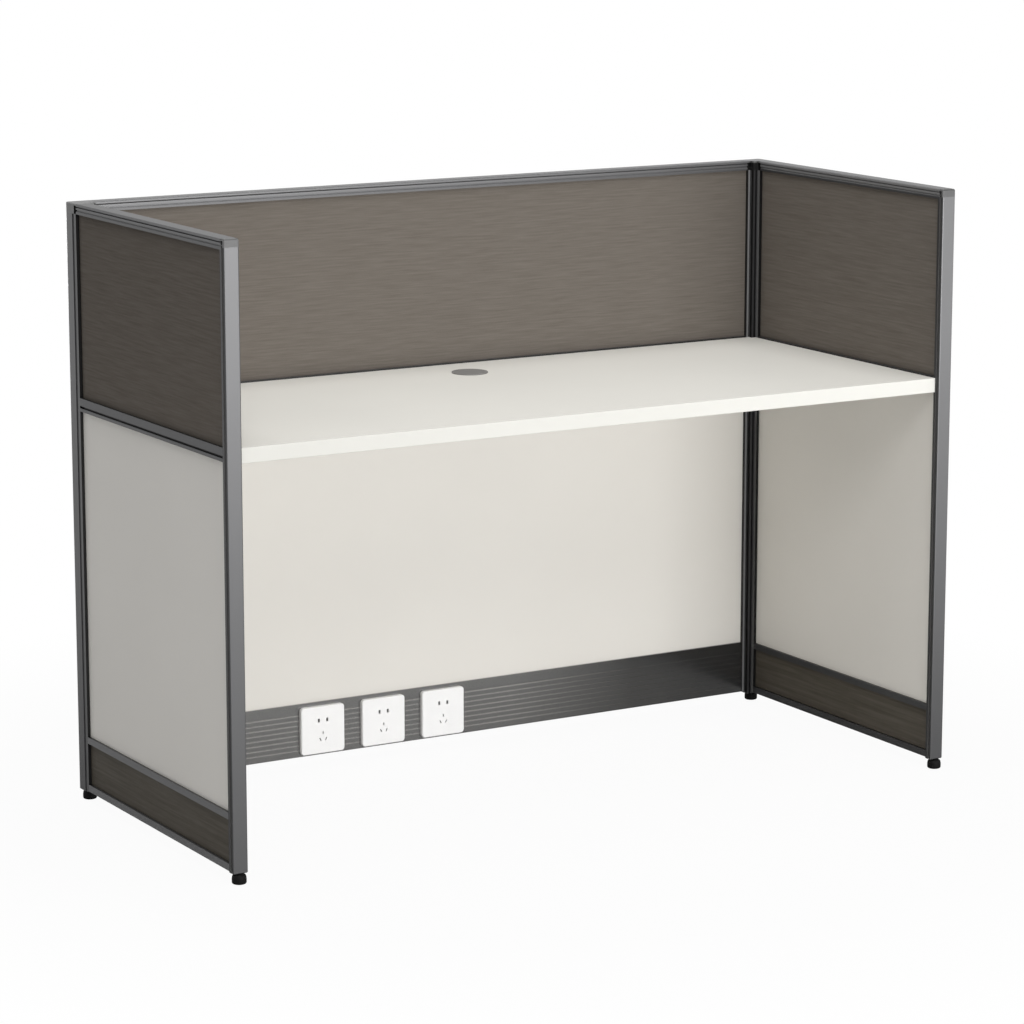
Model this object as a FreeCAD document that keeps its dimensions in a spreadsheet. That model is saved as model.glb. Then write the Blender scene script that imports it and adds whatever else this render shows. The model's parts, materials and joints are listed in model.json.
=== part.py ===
import FreeCAD, Part
import os
import Sketcher

# One-person workstation: three framed screens, a worktop, a socket raceway and four levelling feet.
# Frame: X along the worktop, Y from the open front to the back screen, Z up, floor at zero.

doc = FreeCAD.newDocument("Workstation")
sheet = doc.addObject("Spreadsheet::Sheet", "Sizes")
made_nodes = {}

# Driving sizes in millimetres. Each can be changed by itself.
DRIVING = {
    # whole workstation
    "whole_width": 1400,
    "panel_depth": 600,
    "whole_height": 1030,
    "panel_thick": 27,
    # general clearances and cuts
    "overrun": 2,
    "seat_gap": 0.3,
    "groove_gap": 0.2,
    "bore_gap": 0.1,
    "thread_gap": 0.05,
    # channel that holds the tiles
    "channel_deep": 4,
    "tile_thick": 16,
    # corner posts
    "post_side": 36,
    "post_wall": 2.5,
    "post_base": 17,
    "post_corner": 6,
    "recess_deep": 1.5,
    "recess_wide": 8,
    "inner_recess_wide": 5,
    # end posts
    "end_solid": 10,
    "end_groove_from": 3,
    "end_groove_wide": 5.3,
    "end_groove_deep": 4,
    "end_front_round": 2.5,
    "end_foot_bevel": 1.4,
    "end_void_wide": 2.6,
    "end_wall": 2.3,
    # stiles and rails
    "stile_web": 3,
    "rail_base": 20,
    "bottom_web": 8,
    "lower_rail_low": 105,
    "lower_web": 3,
    "mid_rail_low": 681,
    "mid_web": 14.5,
    "mid_groove_up": 5.5,
    "mid_groove_wide": 4,
    "mid_groove_deep": 4,
    # top trims
    "trim_high": 17,
    "trim_lip": 3.4,
    "trim_ledge": 1.6,
    "trim_ledge_deep": 1.2,
    "trim_groove_deep": 2.5,
    "trim_groove_wide": 2.6,
    "trim_band": 3.4,
    "trim_undercut": 2.2,
    "trim_undercut_deep": 1.8,
    "trim_round": 1.5,
    # caps
    "cap_plate": 3,
    "cap_arm_out": 8,
    "cap_arm_inset": 6,
    "cap_bevel": 1.2,
    "plug_long": 10,
    "plug_gap": 0.3,
    "end_cap_high": 13.2,
    "end_cap_front": 4,
    "end_cap_bevel": 2,
    # raceway
    "cover_thick": 1.6,
    "bead_high": 0.8,
    "bead_foot": 2.4,
    "bead_top": 1.2,
    "bead_first": 12,
    "bead_pitch": 9.1,
    "cover_top_lip": 1.2,
    "cover_lip_reach": 4.4,
    "cover_low_reach": 6.2,
    "tray_web": 1.5,
    "tray_low_beam": 8.4,
    "tray_top_beam": 10,
    "tray_web_gap": 4.1,
    # sockets
    "socket_first": 457,
    "socket_pitch": 122.5,
    "socket_up": 67,
    "plate_side": 86,
    "plate_deep": 8,
    "plate_wall": 2.5,
    "plate_corner": 6,
    "plate_edge": 1.2,
    "cutout_side": 62,
    "box_side": 60,
    "box_back_gap": 1.5,
    "ear_long": 9,
    "ear_high": 14,
    "ear_thick": 2,
    "pair_up": 17.5,
    "pair_apart": 8.4,
    "pair_slot_wide": 4,
    "pair_slot_high": 6.8,
    "earth_down": 5.9,
    "earth_slot_wide": 2.2,
    "earth_slot_high": 5,
    "lean_down": 17.3,
    "lean_apart": 5.6,
    "lean_slot_wide": 2.2,
    "lean_slot_high": 5.6,
    "lean_shift": 1.3,
    "cell_wide": 7,
    "cell_high": 10,
    "cell_deep": 14,
    "clip_wide": 4.6,
    "clip_high": 6,
    "clip_deep": 9,
    # worktop and grommet
    "worktop_top": 701,
    "worktop_thick": 25,
    "worktop_back_off": 9.6,
    "worktop_gap": 0.5,
    "edge_band": 2,
    "edge_round": 1,
    "grommet_right": 6,
    "grommet_from_back": 127,
    "grommet_bore": 32,
    "grommet_lid": 31.8,
    "grommet_lid_high": 1.8,
    "grommet_wall": 2,
    "grommet_long": 22,
    "grommet_lid_plug": 6,
    # cleats
    "cleat_thick": 3,
    "cleat_leg": 35,
    "cleat_flange": 38.5,
    "side_cleat_from": 100,
    "side_cleat_long": 260,
    "rear_cleat_long": 700,
    "cleat_hole_in": 40,
    "cleat_hole_down": 21,
    # fasteners
    "wood_screw": 2,
    "wood_screw_head": 3.8,
    "wood_screw_head_high": 2.4,
    "wood_screw_long": 16,
    "frame_screw": 2,
    "frame_screw_head": 3.6,
    "frame_screw_head_high": 2.6,
    "frame_screw_long": 20,
    "ear_screw": 1.5,
    "ear_screw_head": 2.8,
    "ear_screw_head_high": 2,
    "ear_screw_long": 8,
    # levelling feet
    "foot_radius": 12,
    "foot_high": 12.5,
    "foot_hexagon": 8.8,
    "foot_gap": 0.5,
    "stud_radius": 3,
    "stud_top": 40,
    "boss_half": 6,
    "front_foot_in": 5.8,
    "foot_from_side": 13.5,
    "rear_foot_in": 16,
}

RIB_COUNT = 8
SOCKET_COUNT = 3
SCREW_SIDES = 6

for row, (alias, number) in enumerate(DRIVING.items(), start=1):
    sheet.set("A%d" % row, alias)
    sheet.set("B%d" % row, str(number))
    sheet.setAlias("B%d" % row, alias)
doc.recompute()


class Size:
    """A size with its present value and the expression that keeps a model bound to the sheet."""

    def __init__(self, value, text):
        self.value = value
        self.text = text

    def join(self, other, sign, value, swap=False):
        """Writes a sum or product of two sizes as one bracketed expression."""
        left, right = (as_text(other), self.text) if swap else (self.text, as_text(other))
        return Size(value, "(%s %s %s)" % (left, sign, right))

    def __add__(self, other):
        return self.join(other, "+", self.value + as_value(other))

    def __radd__(self, other):
        return self.join(other, "+", self.value + as_value(other), swap=True)

    def __sub__(self, other):
        return self.join(other, "-", self.value - as_value(other))

    def __rsub__(self, other):
        return self.join(other, "-", as_value(other) - self.value, swap=True)

    def __mul__(self, other):
        return self.join(other, "*", self.value * as_value(other))

    def __rmul__(self, other):
        return self.join(other, "*", self.value * as_value(other), swap=True)

    def __truediv__(self, other):
        return self.join(other, "/", self.value / as_value(other))

    def __neg__(self):
        return Size(-self.value, "(0 - %s)" % self.text)


def as_value(number):
    """Gives the plain value of a size or a number."""
    return number.value if isinstance(number, Size) else number


def as_text(number):
    """Gives the expression of a size or a number."""
    return number.text if isinstance(number, Size) else str(number)


def size(alias):
    """Reads one driving size from the sheet."""
    return Size(float(sheet.get(alias)), "Sizes." + alias)


def bind(thing, field, number):
    """Binds a field of a document object to an expression."""
    if isinstance(number, Size):
        thing.setExpression(field, number.text)


# Sizes that several pieces share
width = size("whole_width")
depth = size("panel_depth")
height = size("whole_height")
thick = size("panel_thick")
overrun = size("overrun")
seat_gap = size("seat_gap")
bore_gap = size("bore_gap")
channel = size("channel_deep")
tile_thick = size("tile_thick")
post_side = size("post_side")
post_base = size("post_base")
stile_web = size("stile_web")
rail_base = size("rail_base")
end_solid = size("end_solid")
foot_radius = size("foot_radius")
front_foot_in = size("front_foot_in")
lower_low = size("lower_rail_low")
mid_low = size("mid_rail_low")
trim_high = size("trim_high")
cover_thick = size("cover_thick")
bead_high = size("bead_high")
worktop_top = size("worktop_top")
worktop_bottom = worktop_top - size("worktop_thick")

back = (depth + foot_radius - front_foot_in) / 2
front = back - depth
slot_wide = tile_thick + size("groove_gap") * 2
lip = (thick - slot_wide) / 2
tile_in = (thick - tile_thick) / 2
stile_deep = stile_web + channel
end_deep = end_solid + channel
trim_low = height - trim_high
rail_from = post_side + stile_deep
tile_from = post_side + stile_web + seat_gap
tenon = channel - bore_gap
tenon_wide = slot_wide - size("groove_gap")
bottom_web = size("bottom_web")
lower_web = size("lower_web")
mid_web = size("mid_web")
cap_from = post_side + size("cap_arm_out")
cover_face = bead_high
beam_from = cover_face + cover_thick

# Where each run of pieces starts, and how it is turned: local X runs along the run,
# local Y goes through its thickness and local Z is up.
FRAMES = {
    "left": (-width / 2, back, -90),
    "right": (width / 2 - thick, back, -90),
    "rear": (-width / 2, back - thick, 0),
    "right_corner": (width / 2, back, 180),
    "right_inward": (width / 2, front, 90),
    "front_left": (-width / 2, front, 0),
    "front_right": (width / 2 - thick, front, 0),
    "worktop": (-width / 2 + thick + size("worktop_gap"), front, 0),
}


def spot(frame, along, through):
    """Turns a place in a run's own directions into X and Y of the whole workstation."""
    start_x, start_y, turn = FRAMES[frame]
    if turn == 0:
        return start_x + along, start_y + through
    if turn == 180:
        return start_x - along, start_y - through
    if turn == 90:
        return start_x - through, start_y + along
    return start_x + through, start_y - along


def place(thing, frame, along, through, up, tilt=None):
    """Sets an object in a run, bound to the sheet."""
    turn = FreeCAD.Rotation(FreeCAD.Vector(0, 0, 1), FRAMES[frame][2])
    if tilt is not None:
        turn = turn.multiply(tilt)
    place_x, place_y = spot(frame, along, through)
    here = FreeCAD.Vector(as_value(place_x), as_value(place_y), as_value(up))
    thing.Placement = FreeCAD.Placement(here, turn)
    bind(thing, "Placement.Base.x", place_x)
    bind(thing, "Placement.Base.y", place_y)
    bind(thing, "Placement.Base.z", up)


def keep(node, thing):
    """Keeps an object as a finished node."""
    thing.Label = node
    made_nodes[node] = thing
    return thing


# Sketches and features
def new_body(name):
    """Starts a body."""
    body = doc.addObject("PartDesign::Body", name)
    body.Label = name
    return body


def fix_point(sketch, piece, end, point):
    """Fixes one point of a sketch by sizes, or on an axis where a size is zero."""
    for number, kind, axis in ((point[0], "DistanceX", -2), (point[1], "DistanceY", -1)):
        if isinstance(number, Size):
            sketch.addConstraint(Sketcher.Constraint(kind, -1, 1, piece, end, number.value))
            sketch.setExpression("Constraints[%d]" % (sketch.ConstraintCount - 1), number.text)
        else:
            sketch.addConstraint(Sketcher.Constraint("PointOnObject", piece, end, axis))


def draw(body, name, role, outlines=(), circles=()):
    """Draws closed outlines and circles on one of the body's own planes."""
    sketch = body.newObject("Sketcher::SketchObject", name)
    plane = [item for item in body.Origin.OriginFeatures if item.Role == role][0]
    sketch.AttachmentSupport = [(plane, "")]
    sketch.MapMode = "FlatFace"
    for outline in outlines:
        points = [FreeCAD.Vector(as_value(a), as_value(b), 0) for a, b in outline]
        first = sketch.GeometryCount
        ends = points[1:] + points[:1]
        for start, end in zip(points, ends):
            sketch.addGeometry(Part.LineSegment(start, end), False)
        total = len(points)
        for step in range(total):
            after = first + (step + 1) % total
            sketch.addConstraint(Sketcher.Constraint("Coincident", first + step, 2, after, 1))
        for step, point in enumerate(outline):
            fix_point(sketch, first + step, 1, point)
    for centre, radius in circles:
        middle = FreeCAD.Vector(as_value(centre[0]), as_value(centre[1]), 0)
        up = FreeCAD.Vector(0, 0, 1)
        ring = sketch.addGeometry(Part.Circle(middle, up, as_value(radius)), False)
        fix_point(sketch, ring, 3, centre)
        sketch.addConstraint(Sketcher.Constraint("Radius", ring, radius.value))
        sketch.setExpression("Constraints[%d]" % (sketch.ConstraintCount - 1), radius.text)
    sketch.Visibility = False
    return sketch


def pad(body, sketch, length, reverse=False):
    """Adds material along the sketch's normal."""
    feature = body.newObject("PartDesign::Pad", sketch.Name + "_pad")
    feature.Profile = sketch
    feature.Length = as_value(length)
    feature.Reversed = reverse
    bind(feature, "Length", length)
    body.Tip = feature
    return feature


def pocket(body, sketch, length, reverse=True):
    """Cuts along the sketch's normal, into the side where the pads went."""
    feature = body.newObject("PartDesign::Pocket", sketch.Name + "_pocket")
    feature.Profile = sketch
    feature.Length = as_value(length)
    feature.Reversed = reverse
    bind(feature, "Length", length)
    body.Tip = feature
    return feature


def revolve(body, sketch):
    """Turns a half section about the upright axis of its sketch."""
    feature = body.newObject("PartDesign::Revolution", sketch.Name + "_turned")
    feature.Profile = sketch
    feature.ReferenceAxis = (sketch, ["V_Axis"])
    feature.Angle = 360
    body.Tip = feature
    return feature


def shift_sketch(sketch, normal_move):
    """Moves a sketch along the normal of its plane."""
    sketch.AttachmentOffset = FreeCAD.Placement(
        FreeCAD.Vector(0, 0, as_value(normal_move)), FreeCAD.Rotation()
    )
    bind(sketch, "AttachmentOffset.Base.z", normal_move)
    return sketch


def repeat(body, feature, sketch, axis, pitch, count):
    """Repeats a feature in a straight row at an even pitch."""
    row_feature = body.newObject("PartDesign::LinearPattern", feature.Name + "_row")
    row_feature.Originals = [feature]
    row_feature.Direction = (sketch, [axis])
    row_feature.Mode = "Spacing"
    row_feature.Offset = as_value(pitch)
    row_feature.Occurrences = count
    bind(row_feature, "Offset", pitch)
    body.Tip = row_feature
    return row_feature


def ease_edges(body, name, radius, wanted, bevel=False):
    """Rounds or bevels the edges that a test picks by their middle and direction."""
    doc.recompute()
    base = body.Tip
    picked = []
    for index, edge in enumerate(base.Shape.Edges, start=1):
        middle = edge.valueAt((edge.FirstParameter + edge.LastParameter) / 2)
        along = edge.Vertexes[-1].Point - edge.Vertexes[0].Point
        if wanted(middle, along):
            picked.append("Edge%d" % index)
    kind, field = ("Chamfer", "Size") if bevel else ("Fillet", "Radius")
    eased = body.newObject("PartDesign::" + kind, name)
    eased.Base = (base, picked)
    setattr(eased, field, as_value(radius))
    bind(eased, field, radius)
    body.Tip = eased
    return eased


def near(number, target):
    """True where a coordinate lies on a size, within a hair of the seat gap."""
    return abs(number - as_value(target)) < seat_gap.value / 10


def block(name, frame, corner, sides):
    """A plain block in a run, from its low corner and its three sides."""
    thing = doc.addObject("Part::Box", name)
    for field, number in zip(("Length", "Width", "Height"), sides):
        setattr(thing, field, as_value(number))
        bind(thing, field, number)
    place(thing, frame, *corner)
    return thing


TILTS = {
    "along": FreeCAD.Rotation(FreeCAD.Vector(0, 1, 0), 90),
    "through": FreeCAD.Rotation(FreeCAD.Vector(1, 0, 0), -90),
    "up": FreeCAD.Rotation(),
}


def rod(name, frame, foot, direction, length, radius):
    """A round rod in a run that starts at foot and goes along, through or up."""
    thing = doc.addObject("Part::Cylinder", name)
    thing.Radius = as_value(radius)
    thing.Height = as_value(length)
    bind(thing, "Radius", radius)
    bind(thing, "Height", length)
    place(thing, frame, *foot, TILTS[direction])
    return thing


def sided_rod(name, frame, foot, direction, length, radius):
    """A rod with flat sides, for a screw or its hole, placed as a round rod is."""
    thing = doc.addObject("Part::Prism", name)
    thing.Polygon = SCREW_SIDES
    thing.Circumradius = as_value(radius)
    thing.Height = as_value(length)
    bind(thing, "Circumradius", radius)
    bind(thing, "Height", length)
    place(thing, frame, *foot, TILTS[direction])
    return thing


def cut_away(node, base, tools):
    """Cuts a list of tools out of a base and keeps the rest as a node."""
    cut = doc.addObject("Part::Cut", node + "_cut")
    cut.Base = base
    cut.Tool = gather(node + "_tools", tools)
    return keep(node, cut)


def gather(name, things):
    """Puts separate solids in one compound."""
    group = doc.addObject("Part::Compound", name)
    group.Links = things
    return group


def screw(name, frame, head_foot, direction, forward, sizes):
    """A headed screw whose head rests at head_foot and whose shank goes forward or back."""
    shank_radius, head_radius, head_high, shank_long = sizes
    axis_index = {"along": 0, "through": 1, "up": 2}[direction]
    head_start = list(head_foot)
    shank_start = list(head_foot)
    if forward:
        head_start[axis_index] = head_foot[axis_index] - head_high
    else:
        shank_start[axis_index] = head_foot[axis_index] - shank_long
    head = sided_rod(name + "_head", frame, head_start, direction, head_high, head_radius)
    shank = sided_rod(name + "_shank", frame, shank_start, direction, shank_long, shank_radius)
    whole = doc.addObject("Part::Fuse", name)
    whole.Base = head
    whole.Tool = shank
    return whole


def bore(name, frame, foot, direction, length, screw_radius):
    """A clearance hole for a screw, as a tool to cut with."""
    return sided_rod(name, frame, foot, direction, length, screw_radius + bore_gap)


# Screws that join the posts to the rails: run, distance through the thickness, height
FRAME_SCREW = [
    size(name)
    for name in ("frame_screw", "frame_screw_head", "frame_screw_head_high", "frame_screw_long")
]
WOOD_SCREW = [
    size(name)
    for name in ("wood_screw", "wood_screw_head", "wood_screw_head_high", "wood_screw_long")
]
EAR_SCREW = [
    size(name) for name in ("ear_screw", "ear_screw_head", "ear_screw_head_high", "ear_screw_long")
]
post_wall = size("post_wall")
screw_start = post_side - post_wall
screw_mid = thick / 2
low_screw = rail_base + bottom_web / 2
mid_screw = mid_low + channel + mid_web - (mid_web - size("mid_groove_up")) / 2
tray_low_screw = rail_base + cover_thick + size("tray_low_beam") / 2
tray_top_screw = lower_low + (size("tray_top_beam") - channel) / 2
SIDE_LEVELS = (low_screw, mid_screw)
REAR_LEVELS = (tray_low_screw, tray_top_screw, mid_screw)


def post_bores(name, frame, levels, reach):
    """Holes for the frame screws, from inside the post outward along a run."""
    start = screw_start - overrun
    return [
        bore("%s_%d" % (name, index), frame, (start, screw_mid, level), "along",
             reach + overrun, FRAME_SCREW[0])
        for index, level in enumerate(levels)
    ]


# Corner posts and end posts
def corner_post(node, frame, side_frame, foot_along, foot_through):
    """Square hollow post, recessed beside each screen, with a screw channel for its foot."""
    recess = size("recess_deep")
    edge = post_side - size("recess_wide")
    floor = post_side - recess
    inner_edge = thick + size("inner_recess_wide")
    body = new_body(node + "_extrusion")
    outline = [(0, 0), (edge, 0), (edge, recess), (post_side, recess),
               (post_side, thick), (floor, thick), (floor, inner_edge), (post_side, inner_edge),
               (post_side, post_side), (inner_edge, post_side), (inner_edge, floor),
               (thick, floor), (thick, post_side), (recess, post_side), (recess, edge), (0, edge)]
    pad(body, draw(body, node + "_section", "XY_Plane", [outline]), trim_low - post_base)
    near_wall = recess + post_wall
    far_wall = post_side - post_wall
    boss = size("boss_half")
    void = [(near_wall, near_wall), (foot_along - boss, near_wall),
            (foot_along - boss, foot_through + boss), (foot_along + boss, foot_through + boss),
            (foot_along + boss, near_wall), (far_wall, near_wall),
            (far_wall, far_wall), (near_wall, far_wall)]
    pocket(body, draw(body, node + "_hollow", "XY_Plane", [void]), height)
    hole = [((foot_along, foot_through), size("stud_radius") + size("thread_gap"))]
    pocket(body, draw(body, node + "_channel", "XY_Plane", [], hole), height)
    ease_edges(body, node + "_corner", size("post_corner"),
               lambda middle, along: near(middle.x, 0) and near(middle.y, 0))
    place(body, frame, 0, 0, post_base)
    tools = post_bores(node + "_side_bore", side_frame, SIDE_LEVELS, post_wall + overrun)
    rear_frame = "rear" if frame == "left" else "right_corner"
    tools += post_bores(node + "_rear_bore", rear_frame, REAR_LEVELS, post_wall + overrun)
    cut_away(node, body, tools)


def end_post(node, frame):
    """Upright end section with a screw channel, two hollows, a shadow groove and the tile channel."""
    groove = size("end_groove_deep")
    groove_from = size("end_groove_from")
    groove_to = groove_from + size("end_groove_wide")
    body = new_body(node)
    outline = [(0, 0), (thick, 0), (thick, end_solid), (0, end_solid)]
    top = height - size("end_cap_high")
    pad(body, draw(body, node + "_section", "XY_Plane", [outline]), top - post_base)
    lips = [
        [(0, end_solid), (lip, end_solid), (lip, end_deep), (0, end_deep)],
        [(thick - lip, end_solid), (thick, end_solid), (thick, end_deep), (thick - lip, end_deep)],
    ]
    pad(body, draw(body, node + "_lips", "XY_Plane", lips), trim_low - post_base)
    ease_edges(body, node + "_front", size("end_front_round"),
               lambda middle, along: near(middle.y, 0) and near(along.x, 0)
               and (near(middle.x, 0) or near(middle.x, thick)))
    ease_edges(body, node + "_foot", size("end_foot_bevel"),
               lambda middle, along: near(middle.z, 0) and near(along.x, 0)
               and (near(middle.x, 0) or near(middle.x, thick)), bevel=True)
    grooves = [
        [(0, groove_from), (groove, groove_from), (groove, groove_to), (0, groove_to)],
        [(thick - groove, groove_from), (thick, groove_from), (thick, groove_to),
         (thick - groove, groove_to)],
    ]
    pocket(body, draw(body, node + "_grooves", "XY_Plane", grooves), height)
    wall = size("end_wall")
    void_from = groove + wall
    void_to = void_from + size("end_void_wide")
    void_deep = end_solid - wall
    voids = [
        [(void_from, wall), (void_to, wall), (void_to, void_deep), (void_from, void_deep)],
        [(thick - void_to, wall), (thick - void_from, wall),
         (thick - void_from, void_deep), (thick - void_to, void_deep)],
    ]
    pocket(body, draw(body, node + "_hollows", "XY_Plane", voids), height)
    hole = [((thick / 2, front_foot_in), size("stud_radius") + size("thread_gap"))]
    pocket(body, draw(body, node + "_channel", "XY_Plane", [], hole), height)
    place(body, frame, 0, 0, post_base)
    keep(node, body)


# Stiles and rails
def stile(node, frame):
    """Upright channel against a corner post, with the frame screws' holes through its web."""
    body = new_body(node + "_extrusion")
    outline = [(0, 0), (stile_deep, 0), (stile_deep, lip), (stile_web, lip),
               (stile_web, thick - lip), (stile_deep, thick - lip), (stile_deep, thick), (0, thick)]
    pad(body, draw(body, node + "_section", "XY_Plane", [outline]), trim_low - rail_base)
    place(body, frame, post_side, 0, rail_base)
    levels = SIDE_LEVELS if frame in ("left", "right") else REAR_LEVELS
    cut_away(node, body, post_bores(node + "_bore", frame, levels, stile_deep + overrun * 2))


def channel_up(base, top):
    """Points of an open channel at the top of a section, from its right side to its left."""
    return [(thick, top), (thick - lip, top), (thick - lip, base), (lip, base), (lip, top), (0, top)]


def channel_down(top):
    """Points of an open channel at the foot of a section, from its left side to its right."""
    return [(0, 0), (lip, 0), (lip, top), (thick - lip, top), (thick - lip, 0), (thick, 0)]


def rail(node, frame, low, outline, web_low, web_high, run_long, levels):
    """Level section between the stile lips, with a tenon at each end that fills the tile channel."""
    body = new_body(node + "_extrusion")
    pad(body, draw(body, node + "_section", "YZ_Plane", [outline]), run_long)
    tenon_from = (thick - tenon_wide) / 2
    tongue = [(tenon_from, web_low), (thick - tenon_from, web_low),
              (thick - tenon_from, web_high), (tenon_from, web_high)]
    ends = shift_sketch(draw(body, node + "_tenon", "YZ_Plane", [tongue]), -tenon)
    pad(body, ends, run_long + tenon * 2)
    place(body, frame, rail_from, 0, low)
    if not levels:
        return keep(node, body)
    reach = FRAME_SCREW[3] + seat_gap
    tools = post_bores(node + "_bore", frame, levels, reach)
    if frame == "rear":
        tools += post_bores(node + "_far_bore", "right_corner", levels, reach)
    return cut_away(node, body, tools)


def bottom_rail(node, frame, run_long):
    """Foot rail with the skirting tile's channel on top."""
    outline = [(0, 0), (thick, 0)] + channel_up(bottom_web, bottom_web + channel)
    rail(node, frame, rail_base, outline, 0, bottom_web, run_long, (low_screw,))


def lower_rail(node, frame, run_long):
    """Rail between the skirting tile and the white tile."""
    top = channel + lower_web
    outline = channel_down(channel) + channel_up(top, top + channel)
    rail(node, frame, lower_low, outline, channel, top, run_long, ())


def mid_rail(node, frame, run_long):
    """Rail level with the worktop, with a shadow groove on each side."""
    groove = size("mid_groove_deep")
    groove_low = size("mid_groove_up")
    groove_high = groove_low + size("mid_groove_wide")
    top = channel + mid_web
    outline = channel_down(channel) + [
        (thick, groove_low), (thick - groove, groove_low), (thick - groove, groove_high),
        (thick, groove_high),
    ] + channel_up(top, top + channel) + [
        (0, groove_high), (groove, groove_high), (groove, groove_low), (0, groove_low),
    ]
    rail(node, frame, mid_low, outline, channel, top, run_long, (mid_screw,))


def trim_side():
    """Stepped side of a top trim from its foot to its top, as inset and height pairs."""
    lip_top = size("trim_lip")
    ledge_top = lip_top + size("trim_ledge")
    groove_top = ledge_top + size("trim_groove_wide")
    band_top = groove_top + size("trim_band")
    return [(0, 0), (0, lip_top), (size("trim_ledge_deep"), ledge_top),
            (size("trim_groove_deep"), ledge_top), (size("trim_groove_deep"), groove_top),
            (0, groove_top), (0, band_top), (size("trim_undercut_deep"), band_top),
            (0, band_top + size("trim_undercut")), (0, trim_high)]


def top_trim(node, frame, run_long):
    """Capping section with a smooth top, stepped sides and the fabric tile's channel below."""
    side = trim_side()
    right = [((thick - inset) if isinstance(inset, Size) else thick, up) for inset, up in side]
    outline = [(lip, 0), (lip, channel), (thick - lip, channel), (thick - lip, 0)]
    outline += right + side[::-1]
    body = new_body(node)
    pad(body, draw(body, node + "_section", "YZ_Plane", [outline]), run_long)
    ease_edges(body, node + "_round", size("trim_round"),
               lambda middle, along: near(middle.z, trim_high) and near(along.y, 0))
    place(body, frame, cap_from, 0, trim_low)
    keep(node, body)


# Tiles
def tile(node, frame, low, high, run_long, screw_tools=()):
    """Tile board whose edges sit in the channels all round."""
    board = block(node, frame, (tile_from, tile_in, low), (run_long, tile_thick, high - low))
    if screw_tools:
        cut_away(node, board, list(screw_tools))
    else:
        keep(node, board)


# Caps
def corner_cap(node, frame):
    """Cap over a corner post: a smooth plate, a skirt on the post, two set-back arms and a plug."""
    body = new_body(node)
    arm = size("cap_arm_inset")
    plate_low = trim_high - size("cap_plate")
    skirt = [(0, 0), (post_side, 0), (post_side, post_side), (0, post_side)]
    pad(body, draw(body, node + "_skirt", "XY_Plane", [skirt]), plate_low)
    arms = [
        [(post_side, arm), (cap_from, arm), (cap_from, thick - arm), (post_side, thick - arm)],
        [(arm, post_side), (thick - arm, post_side), (thick - arm, cap_from), (arm, cap_from)],
    ]
    arm_sketch = shift_sketch(draw(body, node + "_arms", "XY_Plane", arms), channel)
    pad(body, arm_sketch, plate_low - channel)
    plate = [(0, 0), (cap_from, 0), (cap_from, thick), (post_side, thick), (post_side, post_side),
             (thick, post_side), (thick, cap_from), (0, cap_from)]
    top = shift_sketch(draw(body, node + "_plate", "XY_Plane", [plate]), plate_low)
    pad(body, top, size("cap_plate"))
    ease_edges(body, node + "_corner", size("post_corner"),
               lambda middle, along: near(middle.x, 0) and near(middle.y, 0))
    outer = as_value(size("post_corner"))
    ease_edges(body, node + "_edge", size("cap_bevel"),
               lambda middle, along: near(middle.z, trim_high)
               and min(middle.x, middle.y) < outer / 2, bevel=True)
    wall = size("recess_deep") + post_wall + size("plug_gap")
    inner = post_side - post_wall - size("plug_gap")
    past_boss = size("rear_foot_in") + size("boss_half") + size("plug_gap")
    plug = [(past_boss, wall), (inner, wall), (inner, inner), (past_boss, inner)]
    pad(body, draw(body, node + "_plug", "XY_Plane", [plug]), size("plug_long"), reverse=True)
    place(body, frame, 0, 0, trim_low)
    keep(node, body)


def end_cap(node, frame):
    """Cap over an end post: a front block, a set-back neck, a smooth plate and two pegs."""
    body = new_body(node)
    high = size("end_cap_high")
    plate_low = high - size("cap_plate")
    face = size("end_cap_front")
    neck = size("cap_arm_inset")
    front_block = [(0, 0), (thick, 0), (thick, face), (0, face)]
    pad(body, draw(body, node + "_face", "XY_Plane", [front_block]), plate_low)
    neck_points = [(neck, face), (thick - neck, face), (thick - neck, end_solid), (neck, end_solid)]
    pad(body, draw(body, node + "_neck", "XY_Plane", [neck_points]), plate_low)
    plate = [(0, 0), (thick, 0), (thick, end_solid), (0, end_solid)]
    top = shift_sketch(draw(body, node + "_plate", "XY_Plane", [plate]), plate_low)
    pad(body, top, size("cap_plate"))
    ease_edges(body, node + "_corners", size("end_front_round"),
               lambda middle, along: near(middle.y, 0) and near(along.x, 0)
               and (near(middle.x, 0) or near(middle.x, thick)))
    ease_edges(body, node + "_edge", size("end_cap_bevel"),
               lambda middle, along: near(middle.z, high)
               and middle.y < end_solid.value - seat_gap.value, bevel=True)
    gap = size("plug_gap")
    wall = size("end_wall")
    peg_from = size("end_groove_deep") + wall + gap
    peg_to = peg_from + size("end_void_wide") - gap * 2
    peg_low = wall + gap
    peg_high = end_solid - wall - gap
    pegs = [
        [(peg_from, peg_low), (peg_to, peg_low), (peg_to, peg_high), (peg_from, peg_high)],
        [(thick - peg_to, peg_low), (thick - peg_from, peg_low),
         (thick - peg_from, peg_high), (thick - peg_to, peg_high)],
    ]
    pad(body, draw(body, node + "_pegs", "XY_Plane", pegs), size("plug_long"), reverse=True)
    place(body, frame, 0, 0, height - high)
    keep(node, body)


# Raceway
beam_top = lower_low + size("tray_top_beam")
cover_high = beam_top + size("cover_top_lip") - rail_base


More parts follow.
